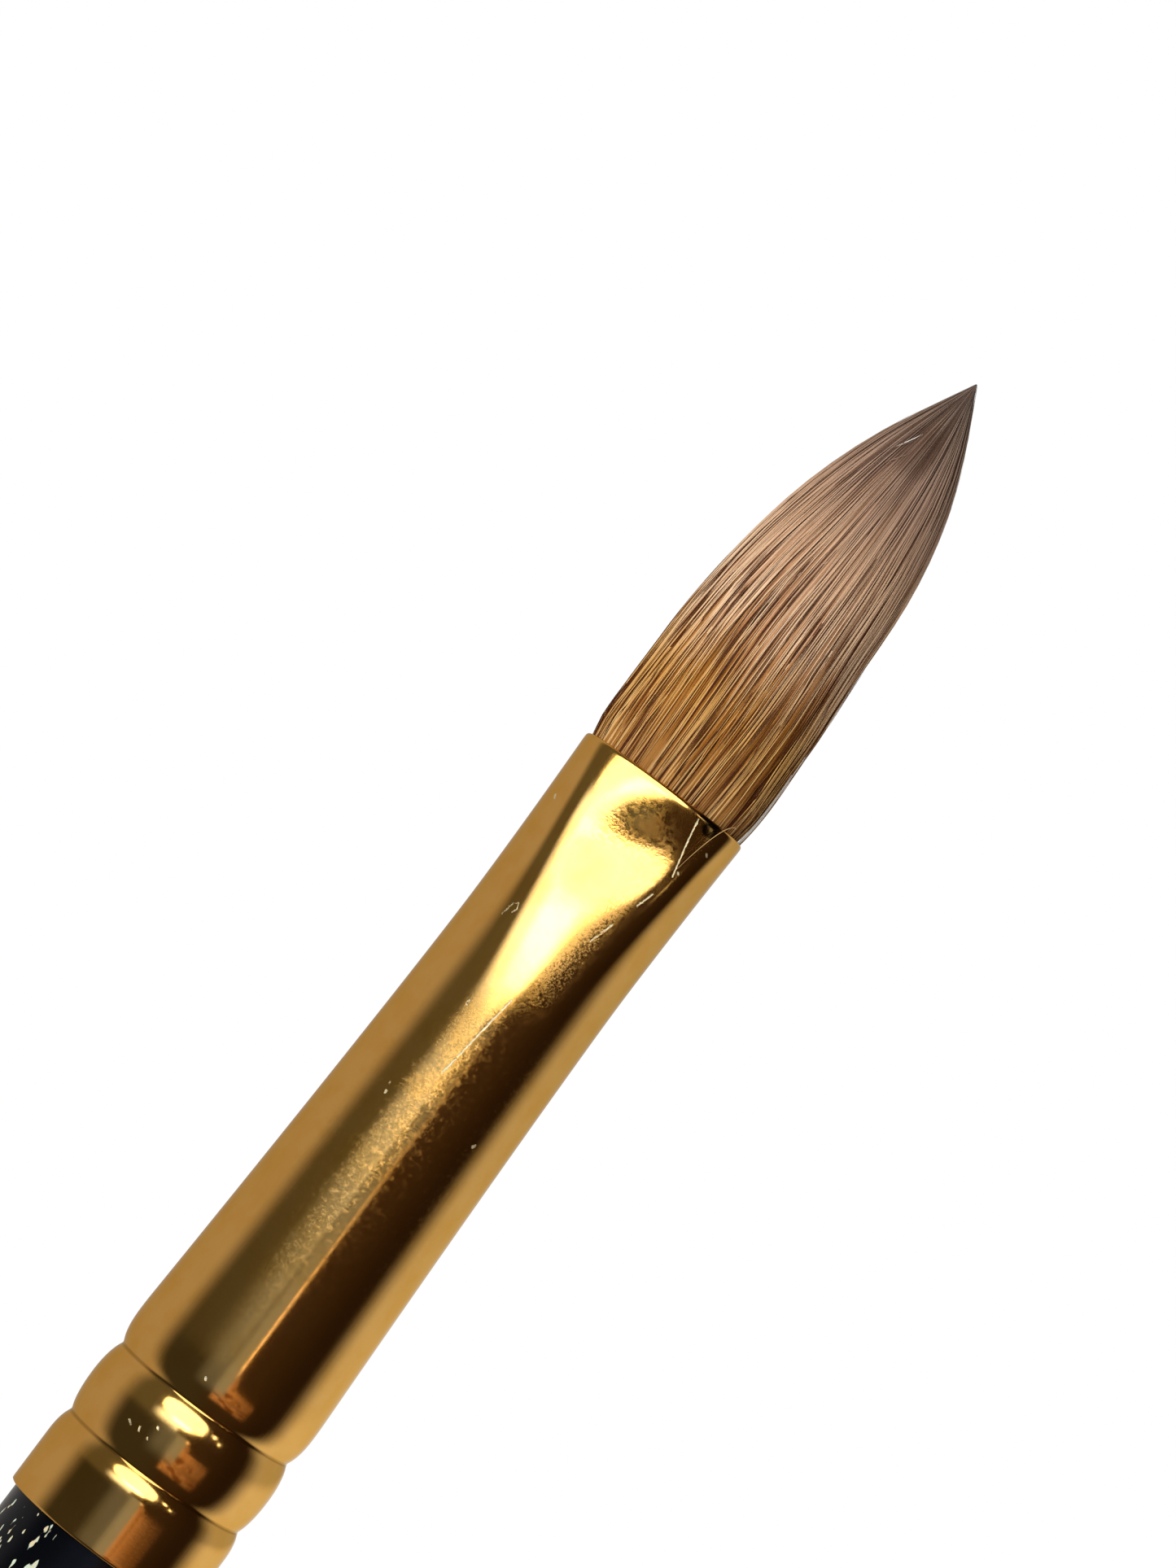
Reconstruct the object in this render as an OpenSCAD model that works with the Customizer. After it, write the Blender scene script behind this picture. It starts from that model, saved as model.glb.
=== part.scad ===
// A pointed artist's brush: lacquered wooden handle, crimped metal ferrule and a tuft of fine hair.
// Upright along Z with the tip on top. The origin is the middle of the grip, on the axis, and the
// ferrule's pressed flats face +Y and -Y.

/* [Handle] */
// Middle of the grip to the lower end of the ferrule
grip_to_ferrule = 28; // [20:1:45]
// Middle of the grip to the end of the tail
grip_to_tail = 95; // [60:1:150]
// Radius at the grip, the fattest part of the handle
grip_r = 4.6; // [4:0.1:6.5]
// Length of the grip's straight stretch
grip_len = 8; // [4:0.5:14]
// Radius of the tail above its rounded end
tail_r = 1.9; // [1.2:0.1:3]
// How quickly the handle thins towards the tail, 1 being a plain cone
tail_taper = 1.35; // [1:0.05:2]
// Empty space in the ferrule between the tenon and the resin plug
tenon_gap = 2.6; // [0.5:0.1:6]
// Thickness of the pale undercoat on the wood
primer_t = 0.1; // [0.05:0.01:0.15]
// Thickness of the black lacquer over the undercoat
lacquer_t = 0.15; // [0.05:0.01:0.2]
// How far the undercoat and the lacquer reach into the ferrule
coat_in = 1.5; // [0.5:0.1:2]

/* [Ferrule] */
// Length of the ferrule
ferrule_len = 32.6; // [26:0.1:42]
// Thickness of its drawn metal
ferrule_wall = 0.25; // [0.15:0.01:0.35]
// Half of the width across the mouth, spread by the pressing
mouth_r = 3.365; // [3.25:0.005:3.6]
// Half of the thickness across the mouth's pressed flats
mouth_flat = 2.45; // [2.3:0.05:2.8]
// Length of the pressed flats, from the mouth to where they run out
flat_len = 11; // [9:0.5:14]
// Radius at the waist, the narrowest place
waist_r = 3.222; // [3.1:0.002:3.24]
// Depth of the waist below the mouth
waist_depth = 7; // [5:0.5:8]
// Radius at the shoulder above the rolled grooves
shoulder_r = 3.77; // [3.5:0.01:3.8]
// Height of the shoulder above the lower end
shoulder_up = 7.2; // [7:0.1:9]
// Radius of the ring between the grooves and of the end section
band_r = 3.8; // [3.7:0.01:4]
// Height of the upper groove above the lower end
groove_1_up = 6.1; // [5:0.05:6.2]
// Height of the lower groove above the lower end
groove_2_up = 3.2; // [2:0.05:3.4]
// How deep the grooves are rolled in
groove_sink = 0.2; // [0.1:0.01:0.25]
// Half of the width of a groove
groove_half = 0.8; // [0.5:0.05:0.8]
// Rounding at the two ends of the ferrule
end_round = 0.08; // [0.04:0.01:0.12]

/* [Hair] */
// Length of the hair from the mouth to the tip
hair_out = 17.5; // [14:0.5:26]
// Half of the width of the tuft just outside the mouth
tuft_r = 3.3; // [3.1:0.01:3.4]
// How much fatter the tuft's belly is than its foot, seen from the side
tuft_belly = 0.3; // [0:0.05:0.5]
// Sideways lean of the very tip
tip_lean = 0.2; // [0:0.05:0.5]
// Height above the mouth at which the tuft bends
bend_rise = 1.35; // [1.3:0.05:2]
// Gap between the free hair's foot and the bound hair under it
bend_gap = 0.15; // [0.1:0.01:0.2]
// How far the bound hair stands out of the mouth
rim_rise = 0.05; // [0:0.01:0.1]
// Depth below the mouth at which the hair narrows into its binding
bind_depth = 5; // [4:0.5:6]
// Length of the narrow bound root
root_len = 4.5; // [4:0.5:6]
// Radius of the bound root
root_r = 2.3; // [1.8:0.05:2.4]
// Thickness of the thread wound round the root
thread_t = 0.3; // [0.15:0.05:0.4]
// Length of the winding
thread_len = 2; // [1:0.5:2.5]
// Depth of the foot of the glue plug below the mouth
resin_depth = 12; // [11.5:0.5:13]
// Rings of strands in the tuft, which has three times its square of strands
strand_rings = 10; // [10:1:11]

/* [Hidden] */
$fn = 96;

// Heights on the axis.
ferrule_end = grip_to_ferrule;
mouth = ferrule_end + ferrule_len;
bend = mouth + bend_rise;
tail = -grip_to_tail;
coat_top = ferrule_end + coat_in;
tenon_top = mouth - resin_depth - tenon_gap;

coats = primer_t + lacquer_t;
neck_r = band_r - ferrule_wall;
mouth_hollow = mouth_flat - ferrule_wall;

// ---- Ferrule profile, as [radius, depth below the mouth] ----

// Powers that shape the flare at the mouth, the barrel below the waist and the grooves' sides.
mouth_curve = 1.7;
barrel_curve = 1.35;
groove_curve = 1.3;
barrel_steps = 12;
shoulder_depth = ferrule_len - shoulder_up;

// The flats lie on two planes that leave the ferrule's round side at this half thickness.
flat_end = barrel_r(flat_len);

function barrel_r(depth) = depth < waist_depth
  ? waist_r + (mouth_r - waist_r) * pow(1 - depth / waist_depth, mouth_curve)
  : waist_r + (shoulder_r - waist_r)
    * pow((depth - waist_depth) / (shoulder_depth - waist_depth), barrel_curve);

function groove(centre) = [
  for (k = [-1 : 0.5 : 1])
    [band_r - groove_sink * pow(1 - abs(k), groove_curve), centre + k * groove_half]
];

// Drawn side of the ferrule from one depth to another, moved in by a wall or a film of glue.
function side(from, to, inset) = [
  for (p = concat(
    [for (k = [0 : barrel_steps]) let (d = shoulder_depth * k / barrel_steps) [barrel_r(d), d]],
    groove(ferrule_len - groove_1_up),
    groove(ferrule_len - groove_2_up),
    [[band_r, ferrule_len]]))
    if (p[1] > from && p[1] < to) [p[0] - inset, p[1]]
];

// Radius of that side at any depth, read along its straight stretches.
all_side = side(-1, ferrule_len + 1, 0);
function side_r(depth) = lookup(depth, [for (p = all_side) [p[1], p[0]]]);

function side_span(from, to, inset) = concat(
  [[side_r(from) - inset, from]],
  side(from, to, inset),
  [[side_r(to) - inset, to]]);

function raised(points) = [for (p = points) [p[0], mouth - p[1]]];
function reversed(points) = [for (k = [len(points) - 1 : -1 : 0]) points[k]];

// Solid of revolution that fills the ferrule's side between two depths.
module turned_side(from, to, inset) {
  rotate_extrude()
    polygon(raised(concat([[0, from]], side_span(from, to, inset), [[0, to]])));
}

// Everything between the two pressed planes, moved in by a wall.
module between_flats(inset) {
  spare = 3;
  slope = (flat_end - mouth_flat) / flat_len;
  half_top = mouth_flat - slope * spare - inset;
  half_foot = flat_end - inset;
  wide = 2 * band_r;
  rotate([90, 0, 90])
    linear_extrude(4 * band_r, center = true)
      polygon([
        [-half_top, mouth + spare], [-half_foot, mouth - flat_len], [-wide, mouth - flat_len],
        [-wide, ferrule_end - spare], [wide, ferrule_end - spare], [wide, mouth - flat_len],
        [half_foot, mouth - flat_len], [half_top, mouth + spare],
      ]);
}

module filling(from, to) {
  intersection() {
    turned_side(from, to, ferrule_wall);
    between_flats(ferrule_wall);
  }
}

module ferrule() {
  outer = concat(
    [[0, 0], [mouth_r - end_round, 0]],
    side_span(end_round, ferrule_len - end_round, 0),
    [[band_r - end_round, ferrule_len], [0, ferrule_len]]);
  color("goldenrod")
    difference() {
      intersection() {
        rotate_extrude() polygon(raised(outer));
        between_flats(0);
      }
      filling(0, ferrule_len);
    }
}

// ---- Handle ----

swell_steps = 10;
taper_steps = 16;
end_steps = 6;

// Outline from the top of the coats down to the tail, moved in by a coat.
function handle_outline(inset) = concat(
  [[neck_r - inset, coat_top]],
  [
    for (k = [0 : swell_steps])
      [
        neck_r + (grip_r - neck_r) * (1 - cos(180 * k / swell_steps)) / 2 - inset,
        ferrule_end - (grip_to_ferrule - grip_len / 2) * k / swell_steps,
      ]
  ],
  [
    for (k = [0 : taper_steps])
      let (u = k / taper_steps)
      [
        grip_r - (grip_r - tail_r) * pow(u, tail_taper) - inset,
        -grip_len / 2 - (grip_to_tail - grip_len / 2 - tail_r) * u,
      ]
  ],
  [
    for (k = [1 : end_steps])
      [(tail_r - inset) * cos(90 * k / end_steps), tail + tail_r - (tail_r - inset) * sin(90 * k / end_steps)]
  ]);

module coat(outer, inner) {
  rotate_extrude()
    polygon(concat(handle_outline(outer), reversed(handle_outline(inner))));
}

module handle_core() {
  color("burlywood") {
    rotate_extrude()
      polygon(concat([[0, coat_top]], handle_outline(coats)));
    turned_side(mouth - tenon_top, mouth - coat_top, ferrule_wall + coats);
  }
}

module handle_primer() {
  color("wheat") coat(lacquer_t, coats);
}

module handle_lacquer() {
  color([0.05, 0.05, 0.05]) coat(0, lacquer_t);
}

// Glue film between the tenon and the ferrule, above the coats.
module handle_glue() {
  color("khaki")
    difference() {
      turned_side(mouth - tenon_top, mouth - coat_top, ferrule_wall);
      turned_side(mouth - tenon_top, mouth - coat_top, ferrule_wall + coats);
    }
}

// ---- Hair held in the ferrule ----

root_end = bind_depth + root_len;
root_cone_len = 0.8;
root_cone_rise = 0.2;

module bound_root() {
  rotate_extrude()
    polygon(raised([
      [0, bind_depth], [root_r + root_cone_rise, bind_depth],
      [root_r, bind_depth + root_cone_len], [root_r, root_end], [0, root_end],
    ]));
}

module hair_root() {
  color("saddlebrown")
    difference() {
      union() {
        filling(-rim_rise, bind_depth);
        bound_root();
      }
      bend_socket();
    }
}

// The free hair's rounded foot turns in this hollow, about a line along X.
module bend_socket() {
  end_r = tuft_r + bend_gap;
  side_r = mouth_hollow + bend_gap;
  corner = asin(side_r / end_r);
  turn_steps = 4;
  arc = [
    for (k = [0 : turn_steps])
      let (turn = corner * k / turn_steps) [end_r * sin(turn), end_r * cos(turn)]
  ];
  translate([0, 0, bend])
    rotate([0, 90, 0])
      rotate_extrude()
        polygon(concat(arc, [for (p = reversed(arc)) [p[0], -p[1]]]));
}

module thread_band() {
  rotate_extrude()
    translate([root_r, mouth - root_end + (root_len - root_cone_len - thread_len) / 2])
      square([thread_t, thread_len]);
}

module binding_thread() {
  color("ivory") thread_band();
}

module resin_plug() {
  color("tan")
    difference() {
      filling(bind_depth, resin_depth);
      bound_root();
      thread_band();
    }
}

// ---- Free hair, as one closed mesh: a rounded foot with a field of three-sided strands ----

tuft_len = hair_out - bend_rise;
rim_count = 6 * strand_rings;
foot_steps = 12;
// Share of its place in the field that a strand fills.
strand_fill = 0.8;
// Shares of the tuft's length at which a strand has corners, and the least from them to its tip.
levels = [0.28, 0.52, 0.68, 0.84, 0.94];
level_gap = 0.02;
// The outermost strands stop this share short of the tip, and the middle ones nearly reach it.
short_strands = 0.3;
short_curve = 2.5;
longest = 0.995;
// Powers that shape the tuft's outline, its strands' ends and the lean of the tip.
outline_power = 3;
outline_curve = 0.85;
end_curve = 0.4;
lean_curve = 4;
// Share of the length over which the belly rises and falls.
belly_len = 0.625;

// Outline of the foot: a circle flattened by the pressed mouth.
function foot_r(turn) = min(tuft_r, mouth_hollow / max(abs(sin(turn)), 0.001));

// Spots of the field lie on rings, six more on each ring than on the last.
function spot_count(ring) = ring == 0 ? 1 : 6 * ring;
function spot_start(ring) = ring == 0 ? 0 : 1 + 3 * ring * (ring - 1);
function spot(ring, i) = spot_start(ring) + i % spot_count(ring);
field_count = spot_start(strand_rings) + rim_count;
field = [
  for (ring = [0 : strand_rings], i = [0 : spot_count(ring) - 1])
    let (turn = 360 * i / spot_count(ring), r = foot_r(turn) * ring / strand_rings)
    [r * cos(turn), r * sin(turn)]
];

// Triangles of the field, as three spots each: those on the ring outside and those on the ring inside.
function wide_cells(sector) = [
  for (ring = [1 : strand_rings], i = [0 : ring - 1])
    [
      spot(ring, sector * ring + i), spot(ring, sector * ring + i + 1),
      spot(ring - 1, sector * (ring - 1) + i),
    ]
];
function narrow_cells(sector) = [
  for (ring = [2 : strand_rings], i = [0 : ring - 2])
    [
      spot(ring - 1, sector * (ring - 1) + i + 1), spot(ring - 1, sector * (ring - 1) + i),
      spot(ring, sector * ring + i + 1),
    ]
];

// Every second triangle carries a strand, so no two strands share a side.
strand_cells = concat(
  [for (s = [0 : 2 : 4]) each wide_cells(s)],
  [for (s = [1 : 2 : 5]) each narrow_cells(s)]);
bare_cells = concat(
  [for (s = [1 : 2 : 5]) each wide_cells(s)],
  [for (s = [0 : 2 : 4]) each narrow_cells(s)]);

// Width of the tuft at a share t of its length, and the part of it that strands of full length fill.
function tuft_width(t) =
  pow(1 - pow((t * tuft_len + bend_rise) / hair_out, outline_power), outline_curve);
function long_share(t) = t < 1 - short_strands ? 1 : pow((1 - t) / short_strands, end_curve);
function draw_in(t) = tuft_width(t) / tuft_width(0) / long_share(t);
function belly(t) = 1 + tuft_belly / mouth_hollow * sin(180 * min(1, t / belly_len));
function tuft_point(p, t) = [
  p[0] * draw_in(t) + tip_lean * pow(t, lean_curve),
  p[1] * draw_in(t) * belly(t),
  bend + t * tuft_len,
];

function middle(cell) = (field[cell[0]] + field[cell[1]] + field[cell[2]]) / 3;
function off_centre(p) = norm(p) / foot_r(atan2(p[1], p[0]));
function tip_share(p) = longest - short_strands * pow(off_centre(p), short_curve);
function strand_points(cell) =
  let (m = middle(cell), end = tip_share(m))
  [
    for (t = levels) if (t < end - level_gap) each
      [for (v = cell) tuft_point(m + (field[v] - m) * strand_fill, t)],
    tuft_point(m, end),
  ];

strands = [for (cell = strand_cells) strand_points(cell)];
strand_start = [
  for (k = 0, n = field_count; k < len(strands); n = n + len(strands[k]), k = k + 1) n
];
strand_end = strand_start[len(strands) - 1] + len(strands[len(strands) - 1]);

// Corner v of a strand at a level, level 0 being its foot in the field.
function corner(k, level, v) =
  level == 0 ? strand_cells[k][v % 3] : strand_start[k] + 3 * (level - 1) + v % 3;
function strand_faces(k) =
  let (rings = (len(strands[k]) - 1) / 3)
  [
    for (level = [0 : rings - 1], v = [0 : 2]) each
      [
        [corner(k, level, v), corner(k, level + 1, v), corner(k, level + 1, v + 1)],
        [corner(k, level, v), corner(k, level + 1, v + 1), corner(k, level, v + 1)],
      ],
    for (v = [0 : 2])
      [corner(k, rings, v), strand_start[k] + 3 * rings, corner(k, rings, v + 1)],
  ];

// The foot is turned about X: each pair of rim spots at the same X is joined by a half circle below.
rim_start = spot_start(strand_rings);
pair_count = rim_count / 2 - 1;
foot_points = [
  for (i = [1 : pair_count], j = [1 : foot_steps - 1])
    let (p = field[rim_start + i], turn = 180 * j / foot_steps)
    [p[0], p[1] * cos(turn), bend - p[1] * sin(turn)]
];
function foot_spot(i, j) =
  i == 0 ? rim_start
  : i == pair_count + 1 ? rim_start + rim_count / 2
  : j == 0 ? rim_start + i
  : j == foot_steps ? rim_start + rim_count - i
  : strand_end + (i - 1) * (foot_steps - 1) + j - 1;
foot_faces = [
  for (i = [0 : pair_count], j = [0 : foot_steps - 1]) each
    [
      if (i > 0) [foot_spot(i, j), foot_spot(i + 1, j + 1), foot_spot(i, j + 1)],
      if (i < pair_count) [foot_spot(i, j), foot_spot(i + 1, j), foot_spot(i + 1, j + 1)],
    ]
];

module hair_tuft() {
  color("peru")
    polyhedron(
      points = concat(
        [for (p = field) [p[0], p[1], bend]],
        [for (s = strands) each s],
        foot_points),
      faces = concat(
        [for (c = bare_cells) [c[0], c[2], c[1]]],
        [for (k = [0 : len(strands) - 1]) each strand_faces(k)],
        foot_faces));
}

handle_core();
handle_primer();
handle_lacquer();
ferrule();
handle_glue();
resin_plug();
binding_thread();
hair_root();
hair_tuft();
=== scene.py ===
import math

import bpy
import numpy as np
from mathutils import Matrix, Vector


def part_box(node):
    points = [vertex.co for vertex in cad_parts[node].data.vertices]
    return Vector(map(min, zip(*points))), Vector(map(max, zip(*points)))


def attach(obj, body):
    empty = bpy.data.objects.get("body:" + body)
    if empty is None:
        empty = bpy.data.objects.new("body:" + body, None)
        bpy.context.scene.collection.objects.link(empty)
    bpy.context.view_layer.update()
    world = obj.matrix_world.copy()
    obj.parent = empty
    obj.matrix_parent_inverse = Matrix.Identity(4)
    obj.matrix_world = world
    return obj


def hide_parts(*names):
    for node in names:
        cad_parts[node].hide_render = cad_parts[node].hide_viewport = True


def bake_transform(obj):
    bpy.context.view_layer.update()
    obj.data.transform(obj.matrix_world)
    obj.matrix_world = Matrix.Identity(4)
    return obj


# A fine detail brush: a polished gold ferrule pressed flat at its mouth, a dressed pointed tuft of
# golden brown hair, and a black lacquered handle.

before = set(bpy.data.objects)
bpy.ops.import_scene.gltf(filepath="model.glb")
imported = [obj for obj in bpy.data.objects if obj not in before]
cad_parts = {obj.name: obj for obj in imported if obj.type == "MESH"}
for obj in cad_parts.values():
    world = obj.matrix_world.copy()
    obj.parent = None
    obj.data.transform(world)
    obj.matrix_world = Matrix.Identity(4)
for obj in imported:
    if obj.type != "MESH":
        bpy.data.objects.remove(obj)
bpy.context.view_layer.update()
mm = 0.001

# Places taken from the frame, in metres.
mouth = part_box("ferrule")[1].z
ferrule_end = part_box("ferrule")[0].z
tail_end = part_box("handle_lacquer")[0].z
grip_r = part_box("handle_lacquer")[1].x
ferrule_len = mouth - ferrule_end

# Driving dimensions of the ferrule, as in the part's source.
ferrule_wall = 0.25 * mm
waist_r = 3.222 * mm
mouth_r = 3.365 * mm
mouth_flat = 2.45 * mm
flat_len = 9.4 * mm
waist_depth = 7 * mm
shoulder_depth = ferrule_len - 7.2 * mm
shoulder_r = 3.77 * mm
band_r = 3.785 * mm
flat_crown = 7.5 * mm
lip_crown = 5.8 * mm
flat_edge = 0.3 * mm
# each groove: depth below the mouth, sink, and its reach above and below
grooves = (
    (ferrule_len - 6.1 * mm, 0.28 * mm, 2.3 * mm, 1.4 * mm),
    (ferrule_len - 3.22 * mm, 0.225 * mm, 1.5 * mm, 1.04 * mm),
)
groove_crease = 0.045 * mm
# a shallow dimple that the jaws left in the front flat: place, size, sink and slant
dimple_x = 0.35 * mm
dimple_depth = 2.4 * mm
dimple_wide = 1.35 * mm
dimple_high = 0.95 * mm
dimple_sink = 0.2 * mm
dimple_slant = 0.27

# Driving dimensions of the handle.
neck_r = 3.55 * mm
grip_half = 4 * mm
tail_r = 1.9 * mm
tail_taper = 1.35
lacquer_t = 0.15 * mm
coat_in = 1.5 * mm

# Driving dimensions of the tuft: how far its hair goes out of the mouth and into it, and its half sizes.
hair_out = 17.95 * mm
hair_in = 1.6 * mm
tuft_r = 3.33 * mm
tuft_flat = 2.2 * mm
# its flat way swells by this much, up to this share of its length
tuft_belly = 0.3 * mm
belly_top = 0.625
# how full it stays toward the point, how evenly it closes there, and the point's own radius
fullness = 3.65
closing = 1.1
blunt = 0.06 * mm
# how much narrower it is in the mouth, on its right just above it, and a little way up
choke = 0.19 * mm
right_tuck = 0.07 * mm
slim = 0.06 * mm
slim_height = 7.6 * mm
slim_long = 2.3 * mm
# how far its middle leans to the right at the tip, and sags to the left below
tip_lean = 0.22 * mm
side_sag = 0.09 * mm
sag_height = 6.5 * mm
sag_long = 2.6 * mm


# ---------------------------------------------------------------- small helpers


def smooth(low, high, value):
    """0 below low, 1 above high, and an even swell between them."""
    share = np.clip((value - low) / (high - low), 0, 1)
    return share * share * (3 - 2 * share)


def colour(red, green, blue):
    """A finish's colour, from a paint card's 0 to 255 values."""
    tones = []
    for tone in (red, green, blue):
        tone = tone / 255
        tones.append(tone / 12.92 if tone <= 0.04045 else ((tone + 0.055) / 1.055) ** 2.4)
    return (*tones, 1.0)


class Value:
    """A number that changes over a surface; plain arithmetic on it adds its Math nodes."""

    def __init__(self, finish, socket):
        self.finish = finish
        self.socket = socket

    def work(self, operation, *numbers, clamp=False):
        sockets = dict(enumerate(numbers))
        settings = {"operation": operation, "use_clamp": clamp}
        return self.finish.add("ShaderNodeMath", settings, sockets)[0]

    def __add__(self, other):
        return self.work("ADD", self, other)

    def __radd__(self, other):
        return self.work("ADD", other, self)

    def __sub__(self, other):
        return self.work("SUBTRACT", self, other)

    def __rsub__(self, other):
        return self.work("SUBTRACT", other, self)

    def __mul__(self, other):
        return self.work("MULTIPLY", self, other)

    def __rmul__(self, other):
        return self.work("MULTIPLY", other, self)

    def __truediv__(self, other):
        return self.work("DIVIDE", self, other)

    def __pow__(self, other):
        return self.work("POWER", self, other)

    def __neg__(self):
        return self.work("MULTIPLY", self, -1.0)

    def __lt__(self, other):
        return self.work("LESS_THAN", self, other)

    def __abs__(self):
        return self.work("ABSOLUTE", self)

    def least(self, other):
        return self.work("MINIMUM", self, other)

    def most(self, other):
        return self.work("MAXIMUM", self, other)

    def held(self):
        return self.work("ADD", self, 0.0, clamp=True)

    def swell(self, low, high):
        """0 at low and 1 at high, easing in and out."""
        settings = {"interpolation_type": "SMOOTHSTEP"}
        sockets = {"Value": self, "From Min": low, "From Max": high}
        return self.finish.add("ShaderNodeMapRange", settings, sockets)["Result"]

    def band(self, low, low_full, high_full, high):
        """1 between the two middle numbers, easing to 0 at the outer two."""
        return self.swell(low, low_full) * (1 - self.swell(high_full, high))

    def peak(self, full, none):
        """1 where the value is nearly 0, easing to 0 away from it to both sides."""
        return 1 - abs(self).swell(full, none)


class Node:
    """One node of a finish; its outputs come out by name or by place."""

    def __init__(self, finish, node):
        self.finish = finish
        self.node = node

    def __getitem__(self, name):
        return Value(self.finish, self.node.outputs[name])


class Finish:
    """The nodes of one material, or of the surroundings."""

    def __init__(self, tree):
        self.tree = tree
        tree.nodes.clear()

    def add(self, kind, settings=None, sockets=None):
        """Adds a node of that kind: its settings first, then its sockets' values or links."""
        node = self.tree.nodes.new(kind)
        for name, setting in (settings or {}).items():
            if name == "stops":
                self.set_stops(node.color_ramp, setting)
            else:
                setattr(node, name, setting)
        for name, value in (sockets or {}).items():
            if isinstance(value, Value):
                self.tree.links.new(value.socket, node.inputs[name])
            else:
                node.inputs[name].default_value = value
        return Node(self, node)

    def set_stops(self, ramp, stops):
        while len(ramp.elements) < len(stops):
            ramp.elements.new(1.0)
        for element, (place, tint) in zip(ramp.elements, stops):
            element.position = place
            element.color = tint

    def mix(self, share, first, second):
        """One colour laid over another by a share."""
        settings = {"data_type": "RGBA", "blend_type": "MIX"}
        return self.add("ShaderNodeMix", settings, {0: share, 6: first, 7: second})[2]

    def ramp(self, value, stops):
        return self.add("ShaderNodeValToRGB", {"stops": stops}, {"Fac": value})["Color"]

    def axes(self, vector):
        parts = self.add("ShaderNodeSeparateXYZ", None, {"Vector": vector})
        return parts["X"], parts["Y"], parts["Z"]

    def vector(self, x, y, z):
        return self.add("ShaderNodeCombineXYZ", None, {"X": x, "Y": y, "Z": z})["Vector"]

    def place(self):
        return self.add("ShaderNodeTexCoord")["Object"]

    def strand(self, name):
        return self.add("ShaderNodeAttribute", {"attribute_name": name})["Fac"]

    def noise(self, vector, scale, detail=2.0, rough=0.5):
        sockets = {"Vector": vector, "Scale": scale, "Detail": detail, "Roughness": rough}
        return self.add("ShaderNodeTexNoise", None, sockets)["Fac"]

    def bump(self, height, depth, normal=None):
        """Height from 0 to 1 as a real relief, depth in metres."""
        sockets = {"Height": height, "Distance": depth, "Strength": 1.0}
        if normal is not None:
            sockets["Normal"] = normal
        return self.add("ShaderNodeBump", None, sockets)["Normal"]

    def surface(self, sockets):
        shader = self.add("ShaderNodeBsdfPrincipled", None, sockets)
        self.add("ShaderNodeOutputMaterial", None, {"Surface": shader["BSDF"]})


def new_finish(name):
    material = bpy.data.materials.new(name)
    material.use_nodes = True
    return material, Finish(material.node_tree)


def oval_spot(across, down, middle, size, full, none):
    """1 in the heart of an oval of that middle and those half sizes, easing to 0 outside it."""
    away = ((across - middle[0]) / size[0]) ** 2 + ((down - middle[1]) / size[1]) ** 2
    return 1 - away.swell(full, none)


# ---------------------------------------------------------------- camera


def set_camera():
    """The camera before the brush's upper end, rolled so that the brush leans in its view."""
    far = 183 * mm
    low = 11.3 * mm
    aim_low = 1.45 * mm
    aim_left = 2.26 * mm
    lean = math.radians(36.9)
    aim = Vector((-aim_left, 0, mouth - aim_low))
    stand = Vector((-aim_left, -far, mouth - low))
    back = (stand - aim).normalized()
    level = Vector((1, 0, 0))
    rise = back.cross(level)
    right = level * math.cos(lean) + rise * math.sin(lean)
    up = rise * math.cos(lean) - level * math.sin(lean)
    camera = bpy.data.objects.new("camera", bpy.data.cameras.new("camera"))
    camera.data.lens = 121
    camera.data.sensor_width = 36
    camera.data.clip_start = 10 * mm
    camera.data.clip_end = 10
    camera.matrix_world = Matrix.Translation(stand) @ Matrix((right, up, back)).transposed().to_4x4()
    bpy.context.scene.collection.objects.link(camera)
    bpy.context.scene.camera = camera


set_camera()


# ---------------------------------------------------------------- surroundings and lamps


def warm_hand(room, turn, rise, seen):
    """A hand below the brush, narrowing upward to a fingertip, with bright folds and a pale outline."""
    folds = room.noise(room.vector(turn * 0.055, rise * 0.16, 0.0), 1.0, 1.0)
    tip = rise.swell(-3.5, 1.0)
    left_edge = turn - 11 * tip + 1
    right_edge = turn - 20 + 6 * tip - 30 * (1 - rise.swell(-7.2, -4.8)) + 8 * folds
    inside = left_edge.swell(-2.5, 2.5) * (1 - right_edge.swell(-2.5, 3))
    outline = (inside - 0.5).peak(0.1, 0.5)
    ridge = (rise + 8 + 0.05 * turn - 3 * folds).peak(0.4, 1.6)
    crease = (folds - 0.5).peak(0.0, 0.06).most(ridge).most(outline * rise.swell(-9, -4))
    skin = room.mix(folds.swell(0.35, 0.6), (0.2, 0.078, 0.028, 1), (0.48, 0.28, 0.2, 1))
    skin = room.mix(crease, skin, (0.85, 0.52, 0.38, 1))
    skin = room.mix(turn.swell(2, 44) * 0.75, skin, (0.08, 0.035, 0.012, 1))
    return room.mix(inside * rise.band(-28, -23, 0.4, 0.5), seen, skin)


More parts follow.
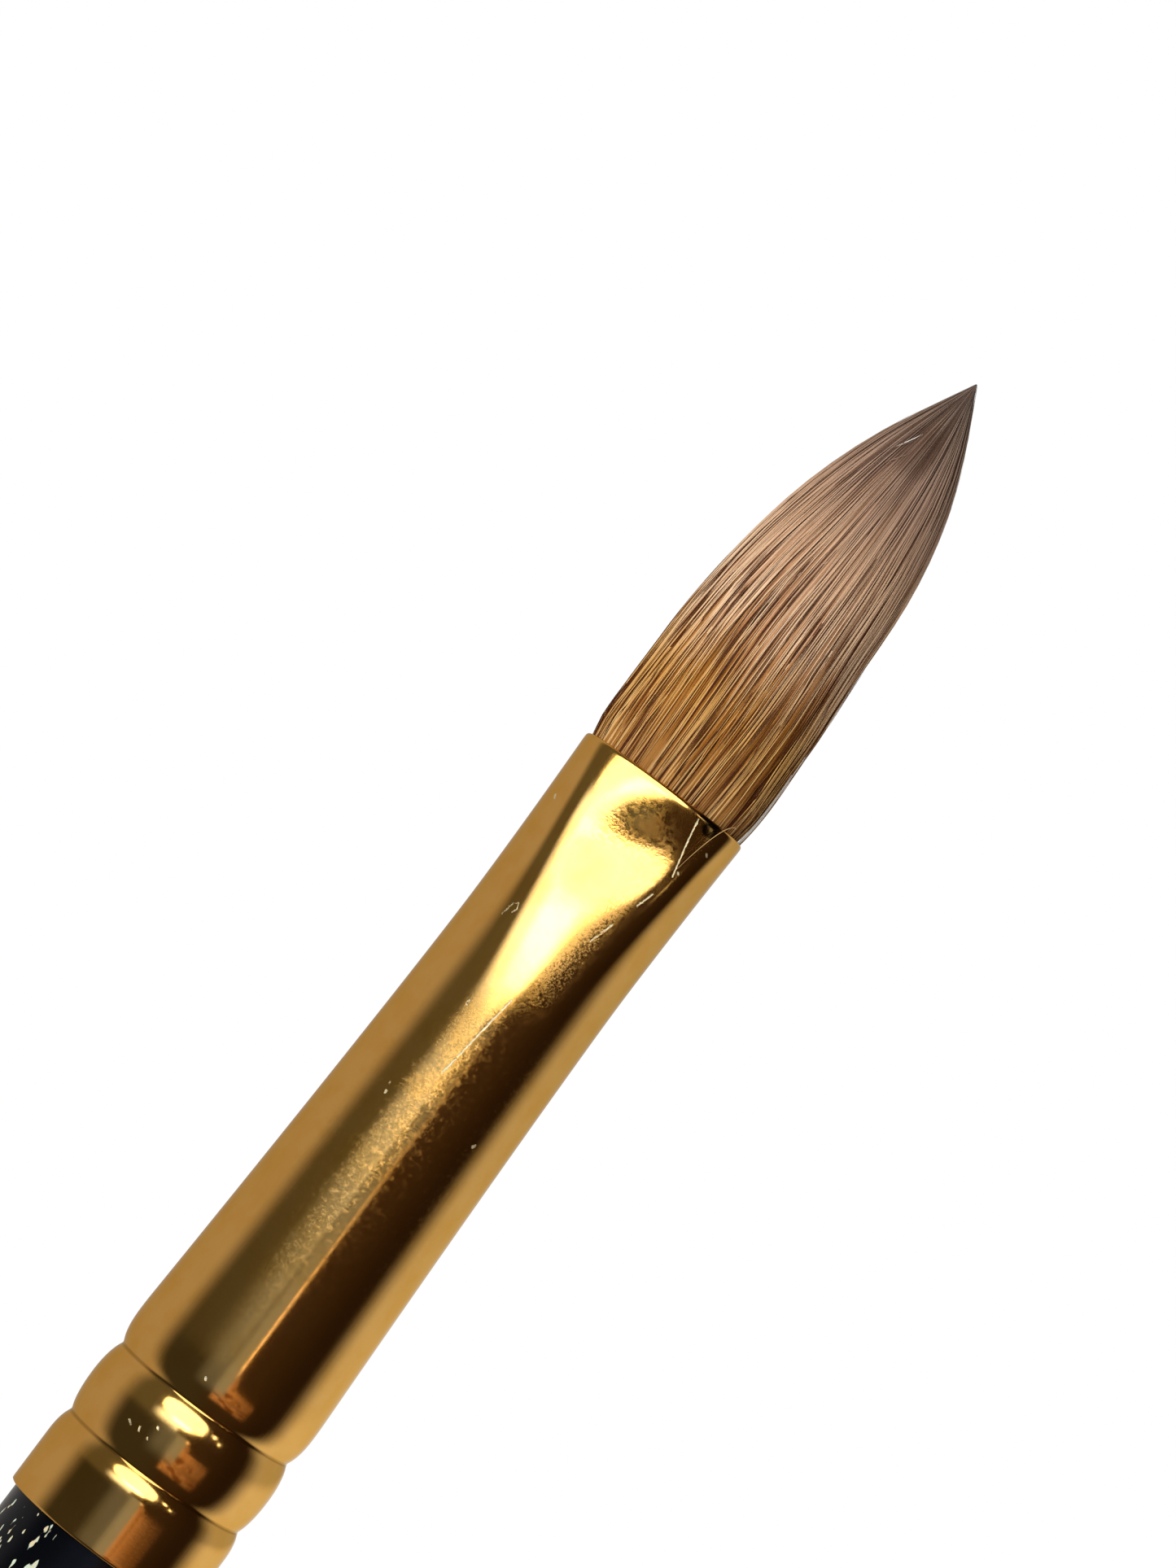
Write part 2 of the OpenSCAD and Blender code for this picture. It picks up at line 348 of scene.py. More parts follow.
def pale_streak(room, turn, rise, seen):
    """A pale upright streak, brighter toward the window above it, and a short bright fold beside it."""
    level = 0.155 + 0.03 * rise.swell(0, 1) + 0.62 * rise.swell(2.0, 3.0) + 1.6 * rise.swell(3.0, 7.5)
    line = (turn + 14 - 5 * rise.swell(2.4, 2.8) - 11 * rise.swell(3, 6)).peak(0.7, 2.4)
    level = level + 1.45 * line * rise.swell(2.15, 2.6)
    level = level + 0.2 * turn.swell(-8, 2) * (1 - rise.swell(1.7, 2.2))
    left_edge = turn + 12 * rise.swell(2.25, 2.75)
    right_edge = turn + 17 * rise.swell(1.9, 2.5)
    streak = left_edge.swell(-32, -16) * (1 - right_edge.swell(8, 12)) * rise.band(-22, -8, 9, 14)
    seen = room.mix(streak, seen, room.vector(level, level * 1.17, level * 1.6))
    fold = (turn - 9.6).peak(0.5, 1.9) * rise.band(0.1, 0.4, 0.75, 1.15)
    return room.mix(fold, seen, (5.6, 4.3, 3.2, 1))


def white_walls(room, turn, rise, seen):
    """The white room behind and the floor, brighter on the right."""
    to_right = turn.swell(-12, 12)
    round_it = abs(turn / (80 + 15 * to_right)) ** 2.5 + abs(rise.least(0) / 72) ** 2.5
    behind = (round_it ** 0.4 + 0.02 * to_right).swell(0.82, 1.18)
    white = 0.86 - 0.29 * rise.swell(-4.5, 2.5)
    right_wall = room.vector(white, white * 1.01, white * 1.05)
    walls = room.mix(turn.swell(-90, 90), (0.50, 0.465, 0.44, 1), right_wall)
    return room.mix(behind, seen, walls)


def window_and_lamps(room, turn, rise, seen):
    """The bright oval window above, brightest low in its middle, and two small lamps beside it."""
    window_turn = -9.5
    window_rise = 23.6
    window_high = 16.2
    window_wide = 24.5 + 5.5 * rise.swell(11.2, 13.4)
    across = turn - window_turn
    climb = rise - window_rise + 0.03 * across
    oval = abs(across / window_wide) ** 2.4 + abs(climb / window_high) ** 2.5
    heart = rise.band(9, 10.2, 13.2, 14.2) * turn.band(-24, -15, -1, 9)
    glare = 4 + 4 * heart
    seen = room.mix(1 - oval.swell(0.92, 1.07), seen, room.vector(glare, glare, glare))
    for lamp_turn, lamp_rise, lamp_size in ((31, 21, 2.5), (39, 16.2, 1.6)):
        gap = (((turn - lamp_turn) / 1.25) ** 2 + (rise - lamp_rise) ** 2) ** 0.5
        seen = room.mix(1 - gap.swell(lamp_size * 0.7, lamp_size), seen, (5, 5, 5, 1))
    return seen


def light_surroundings():
    """A white room behind, a dim one in front with a bright window and a few warm things in it.

    Only polished faces mirror them; all else is lit by an even grey, and the background is white."""
    world = bpy.data.worlds.new("studio")
    bpy.context.scene.world = world
    world.use_nodes = True
    room = Finish(world.node_tree)
    x, y, z = room.axes(room.add("ShaderNodeTexCoord")["Generated"])
    # each direction in degrees: its turn to the right of the front, and its rise above the level
    turn = room.add("ShaderNodeMath", {"operation": "ARCTAN2"}, {0: x, 1: -y})[0] * math.degrees(1)
    rise = room.add("ShaderNodeMath", {"operation": "ARCSINE"}, {0: z})[0] * math.degrees(1)
    fade = 0.45 + 0.75 * rise.swell(-3, 4)
    seen = room.vector(fade * 0.115, fade * 0.112, fade * 0.09)
    seen = room.mix(turn.swell(-25, 15), seen, (0.048, 0.032, 0.022, 1))
    seen = room.mix(turn.swell(20, 75), seen, (0.024, 0.014, 0.009, 1))
    for layer in (warm_hand, pale_streak, white_walls, window_and_lamps):
        seen = layer(room, turn, rise, seen)

    ray = room.add("ShaderNodeLightPath")
    straight = ray["Is Camera Ray"].most(ray["Is Transmission Ray"])
    tint = room.mix(ray["Is Glossy Ray"], (0.32, 0.32, 0.32, 1), seen)
    tint = room.mix(straight, tint, (1, 1, 1, 1))
    glow = room.add("ShaderNodeBackground", None, {"Color": tint, "Strength": 1.0})
    room.add("ShaderNodeOutputWorld", None, {"Surface": glow["Background"]})


def add_lamp(name, turn, rise, level, softness):
    """A broad soft lamp, a level of 1 lighting a surface that faces it as its colour is written."""
    lamp = bpy.data.objects.new(name, bpy.data.lights.new(name, "SUN"))
    lamp.data.energy = level * math.pi
    lamp.data.angle = math.radians(softness)
    turn, rise = math.radians(turn), math.radians(rise)
    way = Vector((math.sin(turn) * math.cos(rise), -math.cos(turn) * math.cos(rise), math.sin(rise)))
    lamp.rotation_mode = "QUATERNION"
    lamp.rotation_quaternion = way.to_track_quat("Z", "Y")
    lamp.visible_glossy = False
    bpy.context.scene.collection.objects.link(lamp)


def lay_floor():
    """A pale floor under the handle's end."""
    bpy.ops.object.select_all(action="DESELECT")
    bpy.ops.mesh.primitive_circle_add(
        vertices=96, radius=300 * mm, fill_type="NGON", location=(0, 0, tail_end - 0.02 * mm)
    )
    floor = bpy.context.object
    floor.name = "floor"
    bpy.ops.object.transform_apply(location=True)
    material, paint = new_finish("pale floor")
    grain = paint.noise(paint.place(), 300.0, 3.0)
    tint = paint.mix(grain, colour(238, 238, 236), colour(248, 248, 246))
    paint.surface({"Base Color": tint, "Roughness": 0.6})
    floor.data.materials.append(material)
    floor.visible_glossy = False


light_surroundings()
add_lamp("key lamp", -32, 18, 0.72, 20)
add_lamp("back lamp", 165, 25, 0.5, 30)
add_lamp("top lamp", 0, 86, 0.45, 30)
lay_floor()


# ---------------------------------------------------------------- finishes


def gold_finish():
    """Polished gold, scratched, rubbed and dusty in places; painted shade darkens the grooves' creases, the
    lip's right and a spot above the dimple, and the scratch marks are tinted pale as painted glints. x and
    depth are in mm.
    """
    material, gold = new_finish("polished gold")
    place = gold.place()
    x, y, z = gold.axes(place)
    x, depth = x / mm, (mouth - z) / mm
    front = y < 0
    cloud = gold.noise(place, 700.0, 3.0, 0.6)
    speck = gold.noise(place, 8000.0, 3.0, 0.65)
    grains = gold.noise(place, 10500.0, 3.0, 0.75)
    dents = gold.noise(place, 5200.0, 3.0, 0.6)
    drawn = gold.noise(gold.vector(x * 9, y * 9000, depth * 0.35), 1.0, 2.0)
    dust = gold.noise(place, 5200.0, 4.0, 0.75).swell(0.47, 0.68) * depth.band(8, 11, 16, 24)

    # matt along the left of the barrel, hazy on the right flat, and dented in and round the dimple
    worn = depth.band(8, 10, 12.5, 18.5) * (0.3 + cloud.swell(0.35, 0.6)) * (x + 0.55).peak(0.3, 1.05)
    rubbed = (x - 1.0).peak(0.2, 0.9) * depth.band(3, 4.5, 8.5, 10)
    dented = oval_spot(x, depth, (0.2, 2.3), (1.6, 1.7), 0.3, 1.3) * front
    shaken = (grains - 0.5) * 0.13
    marks = scratches_and_glints(x + shaken, depth + shaken) * front * dents.swell(0.3, 0.5)

    # painted shade in the grooves' creases, on the lip's right, and in a spot above the dimple
    tint = gold.mix(cloud.swell(0.35, 0.75), colour(231, 178, 97), colour(226, 170, 84))
    # scratch marks and specks: their roughness and relief are real, their near-white tint is a painted glint
    tint = gold.mix(marks, tint, colour(255, 246, 205))
    upper, lower = (abs(depth - groove[0] / mm) for groove in grooves)
    crease_shade = 1 - upper.least(lower).swell(0.02, 0.1)
    tint = gold.mix(crease_shade * 0.45, tint, colour(120, 78, 28))
    # painted shade: the lip's right and a small spot below it are darkened nearly to black
    lip_shade_band = x.band(1.2, 1.6, 2.2, 2.6) * (1 - depth.swell(0.1, 0.4))
    lip_shade = lip_shade_band.most(oval_spot(x, depth, (2.05, 0.33), (0.34, 0.3), 0.4, 1.2)) * front
    tint = gold.mix(lip_shade * 0.93, tint, colour(24, 16, 6))
    # painted shade: a spot above the dimple is darkened half way to dull brown
    shade_spot = oval_spot(x, depth, (0.1, 1.35), (1.15, 0.75), 0.3, 1.3) * front
    tint = gold.mix(shade_spot * 0.5, tint, colour(112, 88, 36))

    haze = worn * (0.03 + 0.11 * grains.swell(0.42, 0.62)) + 0.13 * dust
    haze = haze + 0.17 * rubbed * grains.swell(0.35, 0.6)
    rough = 0.08 + 0.05 * speck + haze + 0.12 * dented * dents.swell(0.4, 0.6) + 0.4 * marks
    relief = gold.bump(speck, 0.0006 * mm)
    for height, deep in (
        (grains * worn, 0.001),
        (grains * dented, 0.002),
        (dents * dented, 0.006),
        (drawn, 0.0008),
        (1 - marks, 0.006),
    ):
        relief = gold.bump(height, deep * mm, relief)
    gold.surface({
        "Base Color": tint,
        "Metallic": 1.0,
        "Specular Tint": (0.86, 0.74, 0.52, 1),
        "Roughness": rough,
        "Normal": relief,
    })
    return material


def scratches_and_glints(x, depth):
    """The few scratch marks and specks on the front, whose pale tint in the finish is a painted glint: each
    one's start and end, across and down, and its width, in mm.
    """
    marks = (
        (1.50, 0.25, 1.66, 1.1, 0.045), (1.66, 1.1, 1.97, 2.4, 0.04), (1.60, 3.92, 1.78, 3.28, 0.04),
        (1.03, 5.86, 1.3, 4.96, 0.045), (-1.95, 6.9, -1.86, 6.4, 0.022), (-1.86, 6.4, -1.7, 6.28, 0.022),
        (-1.7, 6.28, -1.62, 6.5, 0.022), (-1.62, 6.5, -1.72, 6.66, 0.022), (2.46, 1.05, 2.5, 1.1, 0.07),
        (-2.94, 2.5, -2.9, 2.6, 0.06), (2.04, 2.15, 2.08, 2.2, 0.06), (-1.06, 9.95, -1.06, 10.1, 0.06),
        (-1.48, 14.1, -1.48, 14.2, 0.06), (-1.56, 13.8, -1.55, 13.85, 0.05), (2.03, 13.9, 2.08, 13.8, 0.06),
        (-0.53, 25.5, -0.5, 25.55, 0.07), (-1.75, 28.2, -1.62, 28.3, 0.06), (-1.32, 28.15, -1.27, 28.3, 0.05),
        (-0.82, 27.8, -0.78, 27.85, 0.06), (-0.89, 28.3, -0.88, 28.33, 0.05), (0.08, 9.1, -0.33, 12.5, 0.05),
    )
    found = None
    for left, top, right, bottom, width in marks:
        run, drop = right - left, bottom - top
        along = (((x - left) * run + (depth - top) * drop) / (run * run + drop * drop)).held()
        gap = ((x - left - along * run) ** 2 + (depth - top - along * drop) ** 2) ** 0.5
        mark = 1 - gap.swell(width * 0.3, width * 0.8)
        found = mark if found is None else found.most(mark)
    return found


def lacquer_finish():
    """Black gloss, chipped down to its pale undercoat here and there under the ferrule; some chips are
    greenish white, painted glints on their edges.
    """
    material, black = new_finish("black lacquer")
    place = black.place()
    x, y, z = black.axes(place)
    below = (ferrule_end - z) / mm
    cloud = black.noise(place, 260.0, 3.0)
    strokes = black.noise(black.vector(x * 3800, y * 3800, z * 1500), 1.0, 2.0)
    chip_glint_mottle = black.noise(place, 5200.0, 2.0, 0.6)
    chipped = below.band(-0.3, 0.1, 1.8, 3.2) * (x / mm + 2.3).peak(0.9, 1.9)
    chip = (strokes - 0.3 * (1 - chipped)).swell(0.61, 0.65)
    # cream undercoat, mottled with greenish white that stands in for glints on the chips' edges (painted
    # highlights)
    pale = black.mix(chip_glint_mottle.swell(0.4, 0.6), colour(214, 196, 160), colour(196, 212, 190))
    tint = black.mix(chip, (0.0014, 0.0017, 0.003, 1), pale)
    rough = 0.16 + 0.1 * cloud + 0.2 * chip
    relief = black.bump(cloud, 0.01 * mm)
    black.surface({
        "Base Color": tint,
        "Roughness": rough,
        "Specular IOR Level": 0.17,
        "Coat Weight": 0.05,
        "Coat Roughness": 0.05,
        "Normal": relief,
    })
    return material


def hair_finish(name, shade):
    """Golden brown at the root, greying toward the tip; every hair has its own tone.

    A tone above 1.4 makes a hair near white, a painted glint, and a place near the tip, on the front, is
    darker."""
    material, hair = new_finish(name)
    tone = hair.strand("tone")
    along = hair.strand("along")
    lock = hair.strand("lock")
    zone = along + 0.06 * (lock - 0.5) + 0.05 * (tone - 0.5)
    # the lighter band at about a third to a half of the length, in these ramps, is partly the hair's own
    # colour and partly a painted sheen
    body = hair.ramp(zone, [
        (0.0, colour(172, 120, 60)),
        (0.09, colour(160, 101, 38)),
        (0.22, colour(173, 111, 40)),
        (0.36, colour(198, 144, 98)),
        (0.5, colour(178, 134, 101)),
        (0.64, colour(147, 110, 82)),
        (0.75, colour(115, 87, 71)),
        (0.86, colour(84, 63, 50)),
        (1.0, colour(87, 70, 60)),
    ])
    pale = hair.ramp(zone, [
        (0.0, colour(222, 178, 118)),
        (0.2, colour(226, 172, 98)),
        (0.4, colour(240, 204, 166)),
        (0.55, colour(224, 184, 148)),
        (0.7, colour(178, 144, 120)),
        (1.0, colour(120, 103, 92)),
    ])
    dark = hair.ramp(zone, [
        (0.0, colour(76, 34, 8)),
        (0.4, colour(86, 46, 22)),
        (0.55, colour(58, 34, 20)),
        (0.72, colour(64, 42, 30)),
        (1.0, colour(70, 54, 46)),
    ])
    tint = hair.mix(tone.swell(0.62, 1.0), body, pale)
    tint = hair.mix(1 - tone.swell(0.0, 0.38), tint, dark)
    x, y, z = hair.axes(hair.place())
    # a darker patch near the tip, on the front only
    front_dark_patch = oval_spot(x / mm, (z - mouth) / mm, (0.02, 14.7), (0.8, 1.2), 0.2, 1.3)
    tint = hair.mix(front_dark_patch * (y < 0) * 0.45, tint, colour(66, 40, 25))
    # painted shade: the shade darkens the packed hair under the outer layers toward black, as the gaps
    # between hairs would be in shadow
    tint = hair.mix(shade, tint, (0, 0, 0, 1))
    # a tone above 1.4 turns a hair near white: a painted glint
    tint = hair.mix(tone.swell(1.4, 1.6), tint, colour(236, 232, 224))
    hair.surface({"Base Color": tint, "Roughness": 0.45, "Specular IOR Level": 0.2})
    return material


def plain_finish(name, first, second, scale, rough, relief, stretch=1.0):
    """A simple mottled or grained finish for the pieces that are out of sight."""
    material, paint = new_finish(name)
    x, y, z = paint.axes(paint.place())
    grain = paint.noise(paint.vector(x, y, z * stretch), scale, 4.0)
    tint = paint.mix(grain.swell(0.35, 0.65), colour(*first), colour(*second))
    paint.surface({"Base Color": tint, "Roughness": rough, "Normal": paint.bump(grain, relief)})
    return material


# ---------------------------------------------------------------- metal and lacquer


def deselect():
    if bpy.context.mode != "OBJECT":
        bpy.ops.object.mode_set(mode="OBJECT")
    bpy.ops.object.select_all(action="DESELECT")


def draw_out(name, outline, sides):
    """A turned piece: one ring drawn out from station to station of (height, radius)."""
    deselect()
    height, radius = outline[0]
    bpy.ops.mesh.primitive_circle_add(vertices=sides, radius=radius, location=(0, 0, height))
    piece = bpy.context.object
    piece.name = name
    piece.data.name = name
    bpy.ops.object.transform_apply(location=True)
    bpy.ops.object.mode_set(mode="EDIT")
    bpy.ops.mesh.select_all(action="SELECT")
    for next_height, next_radius in outline[1:]:
        move = {"value": (0, 0, next_height - height)}
        bpy.ops.mesh.extrude_region_move(TRANSFORM_OT_translate=move)
        size = next_radius / radius
        bpy.ops.transform.resize(value=(size, size, 1), center_override=(0, 0, next_height))
        height, radius = next_height, next_radius
    return piece


def even_normals():
    bpy.ops.mesh.select_all(action="SELECT")
    bpy.ops.mesh.remove_doubles(threshold=0.0005 * mm)
    bpy.ops.mesh.normals_make_consistent(inside=False)
    bpy.ops.object.mode_set(mode="OBJECT")
    bpy.ops.object.shade_smooth()


def pick_open_edges():
    bpy.ops.mesh.select_mode(type="EDGE")
    bpy.ops.mesh.select_all(action="DESELECT")
    bpy.ops.mesh.select_non_manifold()


def round_off(piece):
    """Splits every face once, along a smooth surface."""
    rounder = piece.modifiers.new("rounder", "SUBSURF")
    rounder.levels = 1
    rounder.render_levels = 1
    bpy.ops.object.modifier_apply(modifier=rounder.name)


def points(piece):
    spots = np.zeros(len(piece.data.vertices) * 3)
    piece.data.vertices.foreach_get("co", spots)
    return spots.reshape(-1, 3)


def set_points(piece, spots):
    piece.data.vertices.foreach_set("co", spots.ravel())
    piece.data.update()


def barrel_r(depth):
    """The round barrel's radius at a depth below the mouth, without its grooves."""
    above = waist_r + (mouth_r - waist_r) * max(0.0, 1 - depth / waist_depth) ** 1.7
    share = max(0.0, depth - waist_depth) / (shoulder_depth - waist_depth)
    below = (shoulder_r - waist_r) * share ** 1.35
    return min(above + below, band_r)


def ferrule_r(depth):
    """The radius with the two rolled grooves, whose walls curve in to a crease."""
    radius = barrel_r(depth)
    for groove, sink, above, below in grooves:
        off = depth - groove
        reach = above if off < 0 else below
        off = math.hypot(off, groove_crease)
        if off < reach:
            wall = (1 - off / reach) ** max(2.3, reach / (0.61 * mm))
            radius -= sink * (0.86 * wall + 0.14 * max(0, 1 - off / (0.38 * mm)) ** 2)
    return radius


def softer(first, second, width):
    """The smaller of two lengths, rounded where they meet."""
    mixed = np.clip(0.5 + 0.5 * (second - first) / width, 0, 1)
    return second + (first - second) * mixed - width * mixed * (1 - mixed)


def pressed(radius, flat, sine, cosine, crown, edge):
    """How far out a pressed tube reaches: its round, cut by two slightly crowned flats."""
    cosine = np.abs(cosine)
    jaw = 2 * flat / (cosine + np.sqrt(cosine ** 2 + 2 * flat * sine ** 2 / crown) + 1e-9)
    return softer(radius, jaw, edge)


def make_ferrule():
    """A thin drawn tube, pressed at the mouth, with two rolled grooves and a rounded lip."""
    lip = ferrule_wall / 2
    barrel = (0.35, 0.6, 0.9, 1.2, 1.6, 2, 2.5, 3, 3.6, 4.2, *range(5, 14))
    barrel += (14.5, 16, 17.5, 19, 20.5, 22, 23.3, 24.5, 24.8)
    depths = [0.02 * mm + lip * 0.9] + [step * mm for step in barrel]
    steps = (0.022, 0.05, 0.1, 0.16, 0.24, 0.33, 0.43, 0.55, 0.68, 0.83, 1)
    for groove, _, above, below in grooves:
        depths += [groove - step * min(above, 1.5 * mm) for step in steps] + [groove - above]
        depths += [groove] + [groove + step * below for step in steps]
    depths += [ferrule_len - step * mm for step in (1.9, 1.4, 0.9, 0.45, 0.2, 0.08)]
    depths = sorted(set(round(depth, 7) for depth in depths))
    outline = [(mouth - depth, ferrule_r(depth)) for depth in reversed(depths)]
    # over the lip and back down inside
    rim = ferrule_r(0) - lip
    for turn in (35, 65, 90, 115, 145):
        angle = math.radians(turn)
        outline.append((mouth - lip + lip * math.sin(angle), rim + lip * math.cos(angle)))
    inside = [depth for depth in depths if depth > 0.5 * mm]
    for depth in inside[::2]:
        outline.append((mouth - depth, min(barrel_r(depth), shoulder_r) - ferrule_wall))
    ferrule = draw_out("gold_ferrule", outline, 96)
    pick_open_edges()
    bpy.ops.mesh.bridge_edge_loops()
    even_normals()
    press_mouth(ferrule)
    round_off(ferrule)
    bpy.ops.object.shade_smooth()
    ferrule.data.materials.append(gold_finish())
    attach(ferrule, "handle")
    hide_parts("ferrule")


def press_mouth(piece):
    """Presses the tube between two flat jaws, harder toward the mouth."""
    spots = points(piece)
    depth = mouth - spots[:, 2]
    reach = np.hypot(spots[:, 0], spots[:, 1])
    sine, cosine = spots[:, 0] / reach, spots[:, 1] / reach
    full = np.array([barrel_r(max(0.0, step)) for step in depth])
    flat = mouth_flat + (barrel_r(flat_len) - mouth_flat) * depth / flat_len
    edge = flat_edge * (0.12 + 0.88 * np.clip(1 - depth / flat_len, 0, 1))
    crowned = 1 / flat_crown + (1 / waist_r - 1 / flat_crown) * np.clip((depth / mm - 3) / 8.3, 0, 1) ** 1.45
    crowned = crowned + (1 / lip_crown - 1 / flat_crown) * np.clip(1 - depth / (2.4 * mm), 0, 1) ** 2
    closed = pressed(full, flat, sine, cosine, 1 / crowned, edge)
    across = closed * sine - dimple_x
    down = depth - dimple_depth + dimple_slant * across
    far = (across / dimple_wide) ** 2 + (down / dimple_high) ** 2
    closed = closed - np.where(cosine < 0, dimple_sink * np.exp(-far / 2), 0)
    closed = closed + reach - full
    spots[:, 0] = closed * sine
    spots[:, 1] = closed * cosine
    set_points(piece, spots)


def handle_r(height):
    """The handle's radius at a height: a swell below the ferrule, a straight grip and a long taper."""
    if height > grip_half:
        share = min(1.0, (height - grip_half) / (ferrule_end - grip_half))
        return grip_r + (neck_r - grip_r) * (1 - math.cos(math.pi * share)) / 2
    if height > -grip_half:
        return grip_r
    share = (-grip_half - height) / (-grip_half - (tail_end + tail_r))
    return grip_r - (grip_r - tail_r) * min(1.0, share) ** tail_taper


def make_handle():
    """The lacquered handle, from inside the ferrule down to its rounded end."""
    outline = [(ferrule_end + coat_in, neck_r - lacquer_t), (ferrule_end + coat_in, neck_r)]
    outline += [(ferrule_end + step * mm, neck_r) for step in (0.8, 0.2, 0)]
    heights = np.concatenate([
        np.linspace(ferrule_end, grip_half, 20)[1:],
        np.linspace(grip_half, -grip_half, 4)[1:],
        np.linspace(-grip_half, tail_end + tail_r, 30)[1:],
    ])
    outline += [(height, handle_r(height)) for height in heights]
    for turn in (15, 30, 45, 60, 72, 82):
        angle = math.radians(turn)
        outline.append((tail_end + tail_r - tail_r * math.sin(angle), tail_r * math.cos(angle)))
    handle = draw_out("lacquered_handle", outline, 64)
    bpy.ops.mesh.extrude_region_move(TRANSFORM_OT_translate={"value": (0, 0, -0.01 * mm)})
    bpy.ops.mesh.merge(type="CENTER")
    pick_open_edges()
    bpy.ops.mesh.edge_face_add()
    even_normals()
    round_off(handle)
    bpy.ops.object.shade_smooth_by_angle(angle=math.radians(50))
    handle.data.materials.append(lacquer_finish())
    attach(handle, "handle")
    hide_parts("handle_lacquer")


# ---------------------------------------------------------------- hair


def tuft_reach(height, angle):
    """How far the tuft's surface is from its middle, at a height above the mouth and round it."""
    share = np.clip(height / hair_out, 0, 1)
    taper = (1 - share ** fullness) ** closing
    wide = tuft_r * taper - choke * (1 - smooth(-0.3 * mm, 1.1 * mm, height))
    wide = wide - slim * np.exp(-((height - slim_height) / slim_long) ** 2)
    wide = wide - right_tuck * (np.sin(angle) > 0) * (1 - smooth(1.5 * mm, 5 * mm, height))
    swell = np.where(share < belly_top, np.sin(math.pi * share / belly_top), 0)
    deep = (tuft_flat + tuft_belly * swell) * taper
    wide = np.maximum(wide, blunt)
    deep = np.maximum(deep, blunt)
    sine, cosine = np.sin(angle), np.cos(angle)
    oval = ((sine / wide) ** 2 + (cosine / deep) ** 2) ** -0.5
    flat = pressed(wide, deep, sine, cosine, lip_crown, flat_edge)
    return flat + (oval - flat) * smooth(0, 7 * mm, height)


def tuft_middle(height):
    """The sideways lean of the tuft's middle line."""
    sag = side_sag * np.exp(-((height - sag_height) / sag_long) ** 2)
    return tip_lean * smooth(7.5 * mm, 16.5 * mm, height) - sag


def hair_spot(height, angle, inset):
    """A place in the tuft: round it, and so far under its surface."""
    reach = np.maximum(tuft_reach(height, angle) - inset, 0)
    return np.stack([
        tuft_middle(height) + reach * np.sin(angle),
        -reach * np.cos(angle),
        mouth + height + 0 * angle,
    ], axis=-1)


def set_marks(mesh, label, numbers):
    """Keeps a number at every point of a mesh, for its finish."""
    store = mesh.attributes.new(label, "FLOAT", "POINT")
    store.data.foreach_set("value", numbers.astype(np.float32).ravel())


def strand_mesh(name, lines, radii, tones, alongs, locks, finish, outward=None):
    """Fine tapering hairs: lines is hair by station by place, radii hair by station."""
    sides = 3
    count, stations = radii.shape
    ahead = np.gradient(lines, axis=1)
    ahead /= np.maximum(np.linalg.norm(ahead, axis=2, keepdims=True), 1e-12)
    outward = lines * [1, 1, 0] if outward is None else outward
    outward -= ahead * np.sum(ahead * outward, axis=2, keepdims=True)
    outward /= np.maximum(np.linalg.norm(outward, axis=2, keepdims=True), 1e-12)
    beside = np.cross(ahead, outward)
    turns = np.arange(sides) * 2 * math.pi / sides
    ring = outward[:, :, None] * np.cos(turns)[:, None] + beside[:, :, None] * np.sin(turns)[:, None]
    spots = lines[:, :, None] + ring * radii[:, :, None, None]
    spots = spots.reshape(-1, 3)
    # hairs lie so close that light falls on them nearly as on the tuft's whole surface
    facing = outward[:, :, None] + 0.6 * beside[:, :, None] * np.sin(turns)[:, None]
    facing = facing.reshape(-1, 3)
    facing /= np.linalg.norm(facing, axis=1, keepdims=True)

    first = (np.arange(count) * stations * sides)[:, None, None]
    row = (np.arange(stations - 1) * sides)[None, :, None]
    side = np.arange(sides)[None, None, :]
    after = (side + 1) % sides
    quads = np.stack([
        first + row + side,
        first + row + after,
        first + row + sides + after,
        first + row + sides + side,
    ], axis=-1).reshape(-1, 4)
    ends = np.stack([
        first[:, 0] + np.arange(sides)[None, ::-1],
        first[:, 0] + (stations - 1) * sides + np.arange(sides)[None, :],
    ], axis=1).reshape(-1, sides)
    corners = np.concatenate([quads.ravel(), ends.ravel()])
    sizes = np.concatenate([np.full(len(quads), 4), np.full(len(ends), sides)])
    starts = np.concatenate([[0], np.cumsum(sizes)[:-1]])

    mesh = bpy.data.meshes.new(name)
    mesh.vertices.add(len(spots))
    mesh.vertices.foreach_set("co", spots.astype(np.float32).ravel())
    mesh.loops.add(len(corners))
    mesh.loops.foreach_set("vertex_index", corners.astype(np.int32))
    mesh.polygons.add(len(sizes))
    mesh.polygons.foreach_set("loop_start", starts.astype(np.int32))
    mesh.polygons.foreach_set("use_smooth", np.ones(len(sizes), bool))
    for label, numbers in (("tone", tones), ("along", alongs), ("lock", locks)):
        numbers = np.broadcast_to(numbers, (count, stations))
        set_marks(mesh, label, np.repeat(numbers, sides, axis=1))
    mesh.update(calc_edges=True)
    mesh.validate()
    mesh.normals_split_custom_set_from_vertices(facing.tolist())
    hair = bpy.data.objects.new(name, mesh)
    bpy.context.scene.collection.objects.link(hair)
    mesh.materials.append(finish)
    return hair


def set_hair(hair, *nodes):
    """Bakes a hair piece's place into its mesh, and hides the imported pieces that it replaces."""
    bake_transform(hair)
    if nodes:
        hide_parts(*nodes)


def even_angles(shares):
    """Angles that space hairs evenly along the tuft's outline just above the mouth."""
    fine = np.linspace(0, 2 * math.pi, 721)
    reach = tuft_reach(np.full(721, 3 * mm), fine)
    outline = np.stack([reach * np.sin(fine), -reach * np.cos(fine)], axis=1)
    walked = np.concatenate([[0], np.cumsum(np.linalg.norm(np.diff(outline, axis=0), axis=1))])
    return np.interp(shares % 1, walked / walked[-1], fine)


